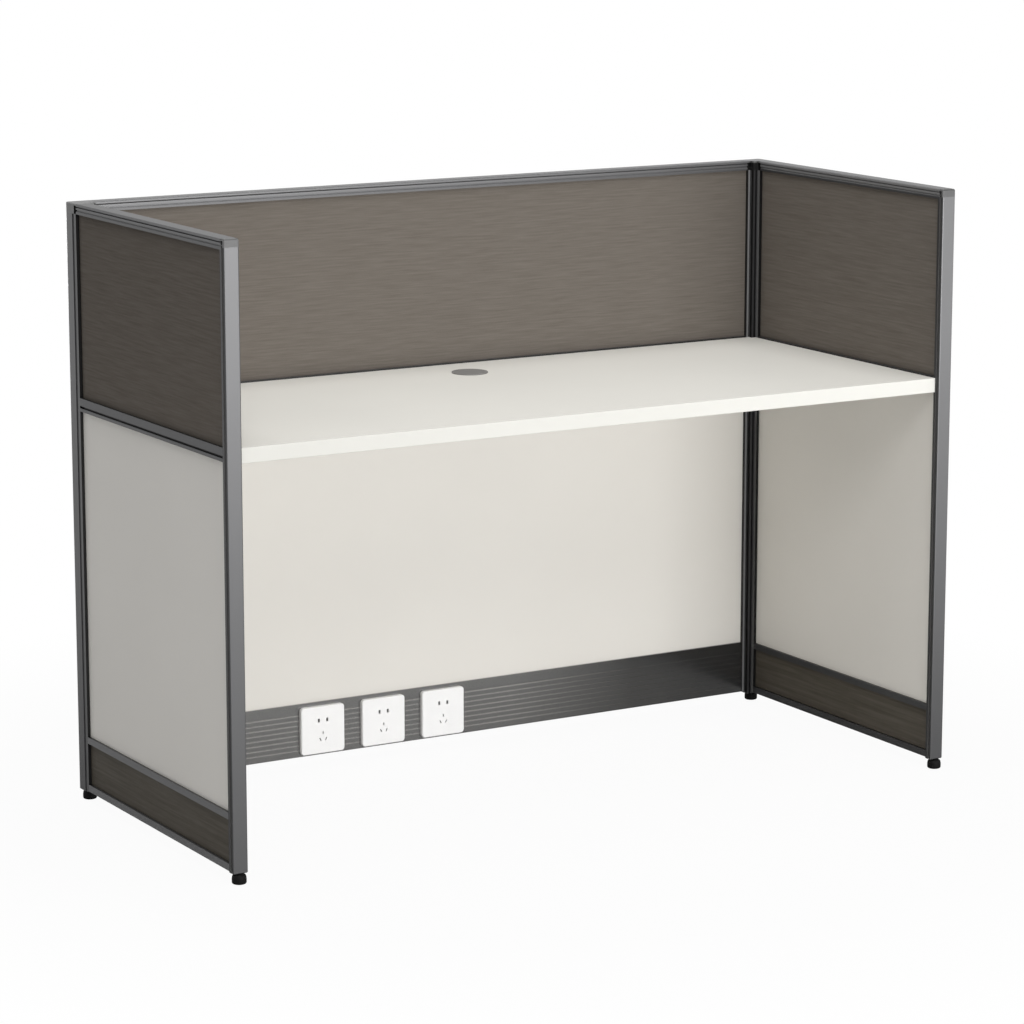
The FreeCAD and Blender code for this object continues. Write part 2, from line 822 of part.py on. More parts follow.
def raceway_cover(node, frame, run_long, with_sockets):
    """Ribbed cover with a hooked lip at its top and foot, cut out for the sockets where it has them."""
    inner = cover_face + cover_thick
    low_reach = cover_face + size("cover_low_reach")
    top_reach = cover_face + size("cover_lip_reach")
    lip_low = beam_top - rail_base
    body = new_body(node)
    outline = [(cover_face, 0), (low_reach, 0), (low_reach, cover_thick), (inner, cover_thick),
               (inner, lip_low), (top_reach, lip_low), (top_reach, cover_high),
               (cover_face, cover_high)]
    pad(body, draw(body, node + "_section", "YZ_Plane", [outline]), run_long)
    rib_mid = size("bead_first")
    foot_half = size("bead_foot") / 2
    top_half = size("bead_top") / 2
    rib = [(cover_face, rib_mid - foot_half), (cover_face, rib_mid + foot_half),
           (0, rib_mid + top_half), (0, rib_mid - top_half)]
    rib_sketch = draw(body, node + "_rib", "YZ_Plane", [rib])
    rib_pad = pad(body, rib_sketch, run_long)
    repeat(body, rib_pad, rib_sketch, "V_Axis", size("bead_pitch"), RIB_COUNT)
    if with_sockets:
        half = size("cutout_side") / 2
        middle = size("socket_first") - rail_from
        up = size("socket_up") - rail_base
        square = [(middle - half, up - half), (middle + half, up - half),
                  (middle + half, up + half), (middle - half, up + half)]
        cut_sketch = shift_sketch(draw(body, node + "_cutout", "XZ_Plane", [square]), overrun)
        cut = pocket(body, cut_sketch, beam_from + overrun * 2, reverse=False)
        repeat(body, cut, cut_sketch, "H_Axis", size("socket_pitch"), SOCKET_COUNT)
    place(body, frame, rail_from, 0, rail_base)
    return body


def raceway_tray(node, run_long):
    """Open tray between the covers: two beams joined by a web near the rear cover."""
    near_side = beam_from
    far_side = thick - beam_from
    web_from = far_side - size("tray_web_gap") - size("tray_web")
    web_to = far_side - size("tray_web_gap")
    low = cover_thick
    low_top = low + size("tray_low_beam")
    top_low = lower_low - rail_base
    top = beam_top - rail_base
    outline = [(near_side, low), (far_side, low), (far_side, low_top), (web_to, low_top),
               (web_to, top_low), (far_side, top_low), (far_side, top), (thick - lip, top),
               (thick - lip, top - channel), (lip, top - channel), (lip, top),
               (near_side, top), (near_side, top_low), (web_from, top_low),
               (web_from, low_top), (near_side, low_top)]
    body = new_body(node + "_extrusion")
    pad(body, draw(body, node + "_section", "YZ_Plane", [outline]), run_long)
    place(body, "rear", rail_from, 0, rail_base)
    reach = FRAME_SCREW[3] + seat_gap
    levels = (tray_low_screw, tray_top_screw)
    tools = post_bores(node + "_bore", "rear", levels, reach)
    tools += post_bores(node + "_far_bore", "right_corner", levels, reach)
    cut_away(node, body, tools)


# Sockets
def slot_outlines(middle_along, middle_up):
    """Outlines of the two-pin and three-pin holes about the middle of a socket."""
    outlines = []
    for side in (-1, 1):
        centre = middle_along + size("pair_apart") * side
        half_wide = size("pair_slot_wide") / 2
        half_high = size("pair_slot_high") / 2
        level = middle_up + size("pair_up")
        outlines.append([(centre - half_wide, level - half_high), (centre + half_wide, level - half_high),
                         (centre + half_wide, level + half_high), (centre - half_wide, level + half_high)])
        centre = middle_along + size("lean_apart") * side
        half_wide = size("lean_slot_wide") / 2
        half_high = size("lean_slot_high") / 2
        level = middle_up - size("lean_down")
        lean = size("lean_shift") * side
        outlines.append([(centre - half_wide - lean, level - half_high),
                         (centre + half_wide - lean, level - half_high),
                         (centre + half_wide + lean, level + half_high),
                         (centre - half_wide + lean, level + half_high)])
    half_wide = size("earth_slot_wide") / 2
    half_high = size("earth_slot_high") / 2
    level = middle_up - size("earth_down")
    outlines.append([(middle_along - half_wide, level - half_high),
                     (middle_along + half_wide, level - half_high),
                     (middle_along + half_wide, level + half_high),
                     (middle_along - half_wide, level + half_high)])
    return outlines


def slot_middles():
    """Middles of the five holes of a socket, from the socket's own middle."""
    return [
        (-size("pair_apart"), size("pair_up")),
        (size("pair_apart"), size("pair_up")),
        (-size("lean_apart"), -size("lean_down")),
        (size("lean_apart"), -size("lean_down")),
        (0, -size("earth_down")),
    ]


def socket_middle(index):
    """Distance of a socket's middle from the left side of the rear screen."""
    return size("socket_first") + size("socket_pitch") * index


def socket_plate(node, index):
    """Rounded square plate, hollow behind, with the holes through its face."""
    side = size("plate_side")
    deep = size("plate_deep")
    wall = size("plate_wall")
    body = new_body(node)
    square = [(0, 0), (side, 0), (side, side), (0, side)]
    pad(body, draw(body, node + "_square", "XZ_Plane", [square]), deep)
    ease_edges(body, node + "_corners", size("plate_corner"),
               lambda middle, along: near(along.x, 0) and near(along.z, 0))
    ease_edges(body, node + "_edge", size("plate_edge"),
               lambda middle, along: near(middle.y, -deep), bevel=True)
    hollow = [(wall, wall), (side - wall, wall), (side - wall, side - wall), (wall, side - wall)]
    pocket(body, draw(body, node + "_hollow", "XZ_Plane", [hollow]), deep - wall)
    holes = draw(body, node + "_holes", "XZ_Plane", slot_outlines(side / 2, side / 2))
    pocket(body, holes, deep + overrun)
    along = socket_middle(index) - side / 2
    place(body, "rear", along, 0, size("socket_up") - side / 2)
    keep(node, body)


def socket_body(node, index):
    """Contact box behind a plate, with two fixing ears and a cell behind each hole."""
    side = size("box_side")
    face = size("plate_deep") - size("plate_wall")
    rear = thick - beam_from - size("tray_web_gap") - size("tray_web") - size("box_back_gap")
    body = new_body(node + "_moulding")
    half = side / 2
    ear = size("ear_long")
    ear_low = half - size("ear_high") / 2
    ear_high = half + size("ear_high") / 2
    square = [(ear, 0), (ear + side, 0), (ear + side, side), (ear, side)]
    box_sketch = shift_sketch(draw(body, node + "_box", "XZ_Plane", [square]), -rear)
    pad(body, box_sketch, face + rear)
    ears = [
        [(0, ear_low), (ear, ear_low), (ear, ear_high), (0, ear_high)],
        [(ear + side, ear_low), (ear * 2 + side, ear_low), (ear * 2 + side, ear_high),
         (ear + side, ear_high)],
    ]
    pad(body, draw(body, node + "_ears", "XZ_Plane", ears), size("ear_thick"))
    half_wide = size("cell_wide") / 2
    half_high = size("cell_high") / 2
    cells = []
    for along, up in slot_middles():
        mid_along = ear + half + along
        mid_up = half + up
        cells.append([(mid_along - half_wide, mid_up - half_high), (mid_along + half_wide, mid_up - half_high),
                      (mid_along + half_wide, mid_up + half_high), (mid_along - half_wide, mid_up + half_high)])
    cell_sketch = shift_sketch(draw(body, node + "_cells", "XZ_Plane", cells), face)
    pocket(body, cell_sketch, size("cell_deep"), reverse=False)
    along = socket_middle(index) - half - ear
    place(body, "rear", along, 0, size("socket_up") - half)
    tools = [
        bore("%s_ear_%d" % (node, step), "rear", (place_along, -size("ear_thick") - overrun, size("socket_up")),
             "through", size("ear_thick") + overrun * 2, EAR_SCREW[0])
        for step, place_along in enumerate(ear_places(index))
    ]
    cut_away(node, body, tools)


def ear_places(index):
    """Where the two ear screws of a socket stand along the rear screen."""
    out = size("box_side") / 2 + size("ear_long") / 2
    return (socket_middle(index) - out, socket_middle(index) + out)


def contact_clips(node):
    """Brass contact clips on the floor of each cell."""
    face = size("plate_deep") - size("plate_wall")
    floor = size("cell_deep") - face
    clips = []
    for index in range(SOCKET_COUNT):
        for step, (along, up) in enumerate(slot_middles()):
            corner = (socket_middle(index) + along - size("clip_wide") / 2, floor - size("clip_deep"),
                      size("socket_up") + up - size("clip_high") / 2)
            sides = (size("clip_wide"), size("clip_deep"), size("clip_high"))
            clips.append(block("%s_%d_%d" % (node, index, step), "rear", corner, sides))
    keep(node, gather(node, clips))


# Worktop
def worktop_reach():
    """Length and depth of the board behind its edge band."""
    gap = size("worktop_gap")
    length = width - thick * 2 - gap * 2
    board_front = size("worktop_back_off") + size("edge_band")
    return length, board_front, depth - thick - gap - board_front


def worktop(node):
    """Board with its rear corners notched round the posts and a round hole for the grommet."""
    length, board_front, deep = worktop_reach()
    notch = post_side - thick
    body = new_body(node + "_board")
    outline = [(0, 0), (length, 0), (length, deep - notch), (length - notch, deep - notch),
               (length - notch, deep), (notch, deep), (notch, deep - notch), (0, deep - notch)]
    pad(body, draw(body, node + "_outline", "XY_Plane", [outline]), size("worktop_thick"))
    hole_up = deep - (size("grommet_from_back") - thick - size("worktop_gap"))
    hole = [((length / 2 + size("grommet_right"), hole_up), size("grommet_bore") + bore_gap)]
    pocket(body, draw(body, node + "_hole", "XY_Plane", [], hole), size("worktop_thick") + overrun)
    place(body, "worktop", 0, board_front, worktop_bottom)
    tools = [
        bore("%s_bore_%d" % (node, step), frame, (along, through, worktop_bottom - overrun), "up",
             WOOD_SCREW[3] - size("cleat_thick") + overrun + seat_gap, WOOD_SCREW[0])
        for step, (frame, along, through) in enumerate(flange_places())
    ]
    cut_away(node, body, tools)


def edge_band(node):
    """Band on the board's front edge, eased along its two long corners."""
    length, board_front, deep = worktop_reach()
    body = new_body(node)
    band = size("edge_band")
    high = size("worktop_thick")
    section = [(0, 0), (band, 0), (band, high), (0, high)]
    pad(body, draw(body, node + "_section", "YZ_Plane", [section]), length)
    ease_edges(body, node + "_eased", size("edge_round"),
               lambda middle, along: near(middle.y, 0) and near(along.z, 0) and near(along.y, 0))
    place(body, "worktop", 0, board_front - band, worktop_bottom)
    keep(node, body)


def grommet_spot():
    """Middle of the grommet along the workstation and from its back."""
    return width / 2 + size("grommet_right"), thick - size("grommet_from_back")


def grommet_sleeve(node):
    """Plain sleeve in the worktop's hole, level with its top."""
    outer = size("grommet_bore")
    inner = outer - size("grommet_wall")
    low = -size("grommet_long")
    body = new_body(node)
    half = [(inner, low), (outer, low), (outer, 0), (inner, 0)]
    revolve(body, draw(body, node + "_section", "XZ_Plane", [half]))
    along, through = grommet_spot()
    place(body, "rear", along, through, worktop_top)
    keep(node, body)


def grommet_lid(node):
    """Round lid over the hole, centred by a plug in the sleeve."""
    outer = size("grommet_lid")
    plug = size("grommet_bore") - size("grommet_wall") - seat_gap
    high = size("grommet_lid_high")
    low = -size("grommet_lid_plug")
    body = new_body(node)
    half = [(0, low), (plug, low), (plug, seat_gap), (outer, seat_gap), (outer, high), (0, high)]
    revolve(body, draw(body, node + "_section", "XZ_Plane", [half]))
    along, through = grommet_spot()
    place(body, "rear", along, through, worktop_top)
    keep(node, body)


# Worktop cleats
cleat_from = tile_in + tile_thick
CLEATS = {
    "left_worktop_cleat": ("left", size("side_cleat_from"), size("side_cleat_long")),
    "right_worktop_cleat": ("right_inward", depth - size("side_cleat_from") - size("side_cleat_long"),
                            size("side_cleat_long")),
    "rear_worktop_cleat": ("right_corner", (width - size("rear_cleat_long")) / 2,
                           size("rear_cleat_long")),
}


def cleat_columns(cleat):
    """Frame of a cleat and the places of its screws along it."""
    frame, start, long = CLEATS[cleat]
    margin = size("cleat_hole_in")
    return frame, (start + margin, start + long - margin)


def flange_places():
    """Every screw that goes up into the worktop: frame, along, through."""
    places = []
    for cleat in CLEATS:
        frame, columns = cleat_columns(cleat)
        places += [(frame, along, cleat_from + size("cleat_flange") / 2) for along in columns]
    return places


def leg_tools(cleat, name):
    """Holes for the screws that hold a cleat's leg to its tile."""
    frame, columns = cleat_columns(cleat)
    level = worktop_bottom - size("cleat_hole_down")
    start = cleat_from + size("cleat_thick") - WOOD_SCREW[3] - seat_gap
    return [
        bore("%s_%d" % (name, step), frame, (along, start, level), "through",
             WOOD_SCREW[3] + seat_gap + overrun, WOOD_SCREW[0])
        for step, along in enumerate(columns)
    ]


def worktop_cleat(node):
    """Folded angle under the worktop: its leg on the tile, its flange under the board."""
    frame, start, long = CLEATS[node]
    leg = size("cleat_leg")
    plate = size("cleat_thick")
    body = new_body(node + "_angle")
    inner = cleat_from + plate
    outline = [(cleat_from, 0), (inner, 0), (inner, leg - plate),
               (cleat_from + size("cleat_flange"), leg - plate),
               (cleat_from + size("cleat_flange"), leg), (cleat_from, leg)]
    pad(body, draw(body, node + "_section", "YZ_Plane", [outline]), long)
    place(body, frame, start, 0, worktop_bottom - leg)
    tools = leg_tools(node, node + "_leg_bore")
    columns = cleat_columns(node)[1]
    tools += [
        bore("%s_flange_bore_%d" % (node, step), frame,
             (along, cleat_from + size("cleat_flange") / 2, worktop_bottom - plate - overrun), "up",
             plate + overrun * 2, WOOD_SCREW[0])
        for step, along in enumerate(columns)
    ]
    cut_away(node, body, tools)


def cleat_screws(node):
    """Screws of all three cleats."""
    screws = []
    plate = size("cleat_thick")
    for step, (frame, along, through) in enumerate(flange_places()):
        foot = (along, through, worktop_bottom - plate)
        screws.append(screw("%s_up_%d" % (node, step), frame, foot, "up", True, WOOD_SCREW))
    level = worktop_bottom - size("cleat_hole_down")
    for cleat in CLEATS:
        frame, columns = cleat_columns(cleat)
        for step, along in enumerate(columns):
            foot = (along, cleat_from + plate, level)
            name = "%s_%s_%d" % (node, cleat, step)
            screws.append(screw(name, frame, foot, "through", False, WOOD_SCREW))
    keep(node, gather(node, screws))


def frame_screws(node):
    """Screws from inside the corner posts into the rails and the tray."""
    screws = []
    runs = (("left", SIDE_LEVELS), ("right", SIDE_LEVELS),
            ("rear", REAR_LEVELS), ("right_corner", REAR_LEVELS))
    for frame, levels in runs:
        for step, level in enumerate(levels):
            foot = (screw_start, screw_mid, level)
            name = "%s_%s_%d" % (node, frame, step)
            screws.append(screw(name, frame, foot, "along", True, FRAME_SCREW))
    keep(node, gather(node, screws))


def socket_screws(node):
    """Screws through the ears of the sockets into the front cover."""
    screws = []
    for index in range(SOCKET_COUNT):
        for step, along in enumerate(ear_places(index)):
            foot = (along, -size("ear_thick"), size("socket_up"))
            name = "%s_%d_%d" % (node, index, step)
            screws.append(screw(name, "rear", foot, "through", True, EAR_SCREW))
    keep(node, gather(node, screws))


# Levelling feet
FEET = {
    "front_left_foot": ("front_left", size("foot_from_side"), front_foot_in),
    "front_right_foot": ("front_right", thick - size("foot_from_side"), front_foot_in),
    "back_left_foot": ("left", size("rear_foot_in"), size("foot_from_side")),
    "back_right_foot": ("right_corner", size("foot_from_side"), size("rear_foot_in")),
}


def foot_pad(node):
    """Round pad with a wrench hexagon on top."""
    frame, along, through = FEET[node]
    high = size("foot_high")
    hexagon_high = post_base - size("foot_gap") - high
    whole = doc.addObject("Part::Fuse", node)
    whole.Base = rod(node + "_round", frame, (along, through, 0), "up", high, foot_radius)
    whole.Tool = sided_rod(node + "_hexagon", frame, (along, through, high), "up", hexagon_high,
                           size("foot_hexagon"))
    keep(node, whole)


def foot_stud(node, foot):
    """Threaded stud on a foot."""
    frame, along, through = FEET[foot]
    start = post_base - size("foot_gap")
    keep(node, rod(node, frame, (along, through, start), "up", size("stud_top") - start,
                   size("stud_radius")))


# Lengths of the runs
side_rail_long = depth - rail_from - end_deep
rear_rail_long = width - rail_from * 2
side_tile_long = depth - tile_from - end_solid - seat_gap
rear_tile_long = width - tile_from * 2
side_trim_long = depth - cap_from - end_solid
rear_trim_long = width - cap_from * 2
RUNS = {
    "left": ("left", side_rail_long, side_tile_long, side_trim_long),
    "right": ("right", side_rail_long, side_tile_long, side_trim_long),
    "back": ("rear", rear_rail_long, rear_tile_long, rear_trim_long),
}
CLEAT_OF = {"left": "left_worktop_cleat", "right": "right_worktop_cleat", "back": "rear_worktop_cleat"}

fabric_low = mid_low + channel + mid_web + seat_gap
fabric_high = trim_low + channel - seat_gap
white_high = mid_low + channel - seat_gap
white_low = lower_low + channel + lower_web + seat_gap
rear_white_low = beam_top - channel + seat_gap
skirting_low = rail_base + bottom_web + seat_gap
skirting_high = lower_low + channel - seat_gap

# Build every node
corner_post("left_corner_post", "left", "left", size("rear_foot_in"), size("foot_from_side"))
corner_post("right_corner_post", "right_corner", "right", size("foot_from_side"), size("rear_foot_in"))
end_post("left_end_post", "front_left")
end_post("right_end_post", "front_right")
stile("left_rear_stile", "left")
stile("right_rear_stile", "right")
stile("back_left_stile", "rear")
stile("back_right_stile", "right_corner")
for side, (frame, rail_long, tile_long, trim_long) in RUNS.items():
    mid_rail(side + "_mid_rail", frame, rail_long)
    top_trim(side + "_top_trim", frame, trim_long)
    tile(side + "_fabric_tile", frame, fabric_low, fabric_high, tile_long)
    low = rear_white_low if side == "back" else white_low
    tools = leg_tools(CLEAT_OF[side], side + "_tile_bore")
    tile(side + "_white_tile", frame, low, white_high, tile_long, tools)
    if side != "back":
        bottom_rail(side + "_bottom_rail", frame, rail_long)
        lower_rail(side + "_lower_rail", frame, rail_long)
        tile(side + "_skirting_tile", frame, skirting_low, skirting_high, tile_long)
corner_cap("left_corner_cap", "left")
corner_cap("right_corner_cap", "right_corner")
end_cap("left_end_cap", "front_left")
end_cap("right_end_cap", "front_right")
raceway_tray("raceway_tray", rear_rail_long)
front_cover = raceway_cover("raceway_front_cover", "rear", rear_rail_long, True)
cover_tools = []
for index in range(SOCKET_COUNT):
    for step, along in enumerate(ear_places(index)):
        cover_tools.append(bore("cover_ear_%d_%d" % (index, step), "rear",
                                (along, -overrun, size("socket_up")), "through",
                                beam_from + overrun * 2, EAR_SCREW[0]))
cut_away("raceway_front_cover", front_cover, cover_tools)
keep("raceway_rear_cover", raceway_cover("raceway_rear_cover", "right_corner", rear_rail_long, False))
for index, name in enumerate(("left", "middle", "right")):
    socket_plate(name + "_socket_plate", index)
    socket_body(name + "_socket_body", index)
contact_clips("socket_contact_clips")
socket_screws("socket_screws")
worktop("worktop")
edge_band("worktop_edge_band")
grommet_sleeve("grommet_sleeve")
grommet_lid("grommet_lid")
for cleat in CLEATS:
    worktop_cleat(cleat)
cleat_screws("cleat_screws")
frame_screws("frame_screws")
for foot in FEET:
    foot_pad(foot)
    foot_stud(foot + "_stud", foot)

doc.recompute()

# Check and export
os.makedirs("parts", exist_ok=True)
for thing in doc.Objects:
    if "Invalid" in thing.State or "Error" in thing.State:
        raise RuntimeError("%s is in state %s" % (thing.Label, thing.State))
for node, thing in made_nodes.items():
    shape = thing.Shape
    if shape.isNull() or not shape.isValid():
        raise RuntimeError("%s has no valid shape" % node)
    shape.exportStep("parts/%s.step" % node)
    box = shape.BoundBox
    print("%-24s solids %2d volume %12.1f  X %8.1f %8.1f  Y %8.1f %8.1f  Z %7.1f %7.1f" % (
        node, len(shape.Solids), shape.Volume, box.XMin, box.XMax, box.YMin, box.YMax,
        box.ZMin, box.ZMax))
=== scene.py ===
import json
import math

import bpy
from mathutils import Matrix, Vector


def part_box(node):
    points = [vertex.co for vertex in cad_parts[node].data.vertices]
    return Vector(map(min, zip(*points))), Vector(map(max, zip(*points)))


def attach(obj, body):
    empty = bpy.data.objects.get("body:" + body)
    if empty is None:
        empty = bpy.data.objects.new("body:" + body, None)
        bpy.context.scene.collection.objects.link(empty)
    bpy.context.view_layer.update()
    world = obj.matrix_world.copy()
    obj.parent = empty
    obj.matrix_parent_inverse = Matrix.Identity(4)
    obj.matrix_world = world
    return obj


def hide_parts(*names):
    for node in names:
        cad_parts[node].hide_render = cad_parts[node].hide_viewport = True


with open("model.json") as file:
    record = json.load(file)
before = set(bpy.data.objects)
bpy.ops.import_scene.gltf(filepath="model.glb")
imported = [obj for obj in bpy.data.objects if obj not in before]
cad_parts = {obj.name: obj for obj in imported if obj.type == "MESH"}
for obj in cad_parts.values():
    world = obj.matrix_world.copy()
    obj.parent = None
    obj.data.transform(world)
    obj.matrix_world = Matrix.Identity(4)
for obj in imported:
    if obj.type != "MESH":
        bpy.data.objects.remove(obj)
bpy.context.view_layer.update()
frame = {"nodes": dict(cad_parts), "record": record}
nodes = frame["nodes"]


# Colours
def srgb(red, green, blue):
    """Colour picked on screen, as the linear values that shaders use, by the sRGB formula."""
    parts = []
    for part in (red, green, blue):
        part = part / 255
        parts.append(part / 12.92 if part <= 0.04045 else ((part + 0.055) / 1.055) ** 2.4)
    return (*parts, 1.0)


def grey(level):
    """Neutral grey of one screen level."""
    return srgb(level, level, level)


def cool_grey(level):
    """Grey with one screen level more of blue, as the frame has."""
    return srgb(level, level, level + 1)


def shade(color, amount):
    """Colour made darker or lighter by a share."""
    return (*[min(1.0, part * amount) for part in color[:3]], 1.0)


# Places and sizes that the looks follow, in metres
# Strips of the corner posts beside the screens and their inner corner, where shade is painted
post_low, post_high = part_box("right_corner_post")
recess_deep = 0.0275
strip_side = post_high[0] - recess_deep
strip_back = post_high[1] - recess_deep
behind_post_face = post_low[1] + 0.0005

# Band of painted highlight on the faces of the back stiles
stile_band_from = post_low[0] - 0.0056
stile_band_to = post_low[0] - 0.0015

# Groove in the side of the end posts, painted lighter as painted light
end_post_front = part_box("left_end_post")[0][1]
end_groove_from = end_post_front + 0.003
end_groove_to = end_post_front + 0.0085

# Plate of the corner caps and lip of the trims, below which shade is painted
cap_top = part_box("left_corner_cap")[1][2]
cap_plate_low = cap_top - 0.003
trim_lip_high = cap_top - 0.0125

# Ribs of the raceway cover, whose crests carry painted highlights
rib_count = 8
rib_pitch = 0.0091
rib_half_crest = 0.0019
first_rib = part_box("raceway_front_cover")[0][2] + 0.012

# Axes along which a profile was drawn, all three for a piece that wasn't
across = (1, 0, 0)
deep = (0, 1, 0)
upright = (0, 0, 1)
every_way = (1, 1, 1)

# Values that several looks share
# Painted shade in gaps and inner corners: how far it looks, how many rays it takes, and its colour
gap_reach = 0.016
gap_samples = 16
gap_shade_tone = grey(12)
# Black painted shade inside the inner corners of the corner posts and caps
hollow_shade_tone = grey(18)
frame_tone = cool_grey(96)
frame_metallic = 0.4
frame_rough = 0.38
metal_gloss = 0.2
cap_gloss = 0.4
cap_rough = 0.45

# Least part of a normal along an axis that counts as facing it
faces_side = 0.5
faces_up = 0.7

# Sockets of the Mix node that hold its factor, its two colours and its result
mix_factor, mix_first, mix_second, mix_result = 0, 6, 7, 2


class Nodes:
    """Node tree that is built step by step."""

    def __init__(self, tree):
        self.tree = tree

    def feed(self, socket, value):
        """Links an output to a socket or sets its plain value."""
        if isinstance(value, bpy.types.NodeSocket):
            self.tree.links.new(value, socket)
        else:
            socket.default_value = value

    def feed_named(self, node, inputs):
        """Feeds inputs of a node by name, with an underscore for each space in it."""
        for label, value in inputs.items():
            self.feed(node.inputs[label.replace("_", " ")], value)

    def add(self, kind, **inputs):
        """Adds a node and feeds its inputs."""
        node = self.tree.nodes.new(kind)
        self.feed_named(node, inputs)
        return node

    def math(self, operation, first, second=0.0):
        """Joins two values by one operation, or changes the first."""
        node = self.add("ShaderNodeMath")
        node.operation = operation
        self.feed(node.inputs[0], first)
        self.feed(node.inputs[1], second)
        return node.outputs[0]

    def span(self, value, low, high, from_low=0.3, from_high=0.7):
        """Maps one range of a value, by default that of noise, to another."""
        node = self.add("ShaderNodeMapRange", Value=value, From_Min=from_low, From_Max=from_high,
                        To_Min=low, To_Max=high)
        return node.outputs["Result"]


class Look(Nodes):
    """Node material that is built step by step."""

    def __init__(self, name):
        self.material = bpy.data.materials.new(name)
        self.material.use_nodes = True
        super().__init__(self.material.node_tree)
        self.shader = self.tree.nodes["Principled BSDF"]
        self.place = self.add("ShaderNodeTexCoord").outputs["Object"]

    def set(self, **inputs):
        """Feeds inputs of the main shader."""
        self.feed_named(self.shader, inputs)
        return self.material

    def blend(self, factor, first, second):
        """Mixes two colours: the first at a factor of 0, the second at 1."""
        node = self.add("ShaderNodeMix")
        node.data_type = "RGBA"
        self.feed(node.inputs[mix_factor], factor)
        self.feed(node.inputs[mix_first], first)
        self.feed(node.inputs[mix_second], second)
        return node.outputs[mix_result]

    def noise(self, scale, detail, rough=0.5):
        """Noise stretched by a different scale along each axis."""
        mapping = self.add("ShaderNodeMapping", Vector=self.place, Scale=scale)
        texture = self.add("ShaderNodeTexNoise", Vector=mapping.outputs["Vector"], Scale=1.0,
                           Detail=detail, Roughness=rough)
        return texture.outputs["Fac"]

    def even_noise(self, scale, detail=2.0):
        """Noise of one scale along every axis."""
        return self.noise((scale, scale, scale), detail)

    def streaks(self, lie):
        """Noise drawn out along the axes that are marked in lie."""
        along, aside = 3, 240
        return self.noise([along if part else aside for part in lie], detail=3.0)

    def along(self, axis):
        """Place along one axis of the object."""
        return self.add("ShaderNodeSeparateXYZ", Vector=self.place).outputs[axis]

    def facing(self, axis):
        """How much the surface faces along an axis of the object, either way."""
        normal = self.add("ShaderNodeTexCoord").outputs["Normal"]
        split = self.add("ShaderNodeSeparateXYZ", Vector=normal)
        return self.math("ABSOLUTE", split.outputs[axis])

    def painted_gap_shade(self, color, black_below=0.45, clear_above=0.85):
        """Colour with painted shade: darker where little of the space around is open, as in narrow gaps and
        inner corners.
        """
        occlusion = self.add("ShaderNodeAmbientOcclusion", Distance=gap_reach)
        occlusion.samples = gap_samples
        shown = self.span(occlusion.outputs["AO"], 0.0, 1.0, black_below, clear_above)
        return self.blend(shown, gap_shade_tone, color)

    def relief(self, height, strength, distance):
        """Feeds a height to the normal."""
        bump = self.add("ShaderNodeBump", Height=height, Strength=strength, Distance=distance)
        self.set(Normal=bump.outputs["Normal"])


# Metals
def drawn_metal(look, color, lie, contrast=0.02):
    """Colour of satin metal with faint drawn streaks along its length, and a fine grain."""
    look.relief(look.even_noise(900), strength=0.08, distance=0.0002)
    look.set(Specular_IOR_Level=metal_gloss)
    tone = look.span(look.streaks(lie), 0.0, 1.0)
    return look.blend(tone, shade(color, 1 - contrast), shade(color, 1 + contrast))


def post_metal(look, low_color, high_color, low_height, high_height):
    """Colour of a drawn post with painted light: brighter towards its top."""
    look.relief(look.streaks(upright), strength=0.08, distance=0.0002)
    look.set(Specular_IOR_Level=metal_gloss)
    rise_light = look.span(look.along("Z"), 0.0, 1.0, low_height, high_height)
    return look.blend(rise_light, low_color, high_color)


def coated_metal(name, color, metallic=frame_metallic, rough=frame_rough, lie=every_way):
    """Satin metal with painted shade in its gaps."""
    look = Look(name)
    shown = look.painted_gap_shade(drawn_metal(look, color, lie))
    return look.set(Base_Color=shown, Metallic=metallic, Roughness=rough)


def end_post_metal(name, low_color, high_color):
    """End post with painted light: its front painted brighter towards its top, its sides painted darker as
    shade, painted shade in its gaps, and the grooves in its sides painted lighter to lift the shade in
    them.
    """
    side_shade_color, groove_light_color = cool_grey(64), srgb(128, 128, 127)
    look = Look(name)
    front = post_metal(look, low_color, high_color, low_height=0.05, high_height=0.8)
    aside = look.span(look.facing("X"), 0.0, 1.0, from_low=0.35, from_high=0.8)
    behind = look.math("GREATER_THAN", look.along("Y"), end_groove_from)
    shown = look.blend(look.math("MAXIMUM", aside, behind), front, side_shade_color)
    shown = look.painted_gap_shade(shown, black_below=-0.5, clear_above=0.8)
    # The groove is painted lighter, as painted light
    in_groove = look.math("MULTIPLY", behind, look.math("LESS_THAN", look.along("Y"), end_groove_to))
    return look.set(Base_Color=look.blend(in_groove, shown, groove_light_color), Metallic=0.5, Roughness=0.4)


def inner_corner(look):
    """Whether a place is in the strip beside a screen, and whether it is inside the corner of two."""
    toward_front = look.math("LESS_THAN", look.along("Y"), strip_back)
    inward = look.math("LESS_THAN", look.math("ABSOLUTE", look.along("X")), strip_side)
    return look.math("MAXIMUM", toward_front, inward), look.math("MULTIPLY", toward_front, inward)


def corner_post_metal(name, low_color, high_color, strip_shade_color, flange_shade_color):
    """Corner post with painted light brighter towards its top, painted shade beside the screens and on its
    front flange, and black painted shade in the inner corner behind that flange.
    """
    look = Look(name)
    strip, corner = inner_corner(look)
    rearward = look.math("GREATER_THAN", look.along("Y"), behind_post_face)
    aside = look.math("GREATER_THAN", look.facing("X"), faces_side)
    hollow = look.math("MULTIPLY", corner, look.math("MAXIMUM", rearward, aside))
    outside = post_metal(look, low_color, high_color, low_height=0.5, high_height=0.85)
    shown = look.blend(strip, outside, strip_shade_color)
    shown = look.blend(corner, shown, flange_shade_color)
    shown = look.blend(hollow, shown, hollow_shade_tone)
    return look.set(Base_Color=shown, Metallic=frame_metallic, Roughness=frame_rough)


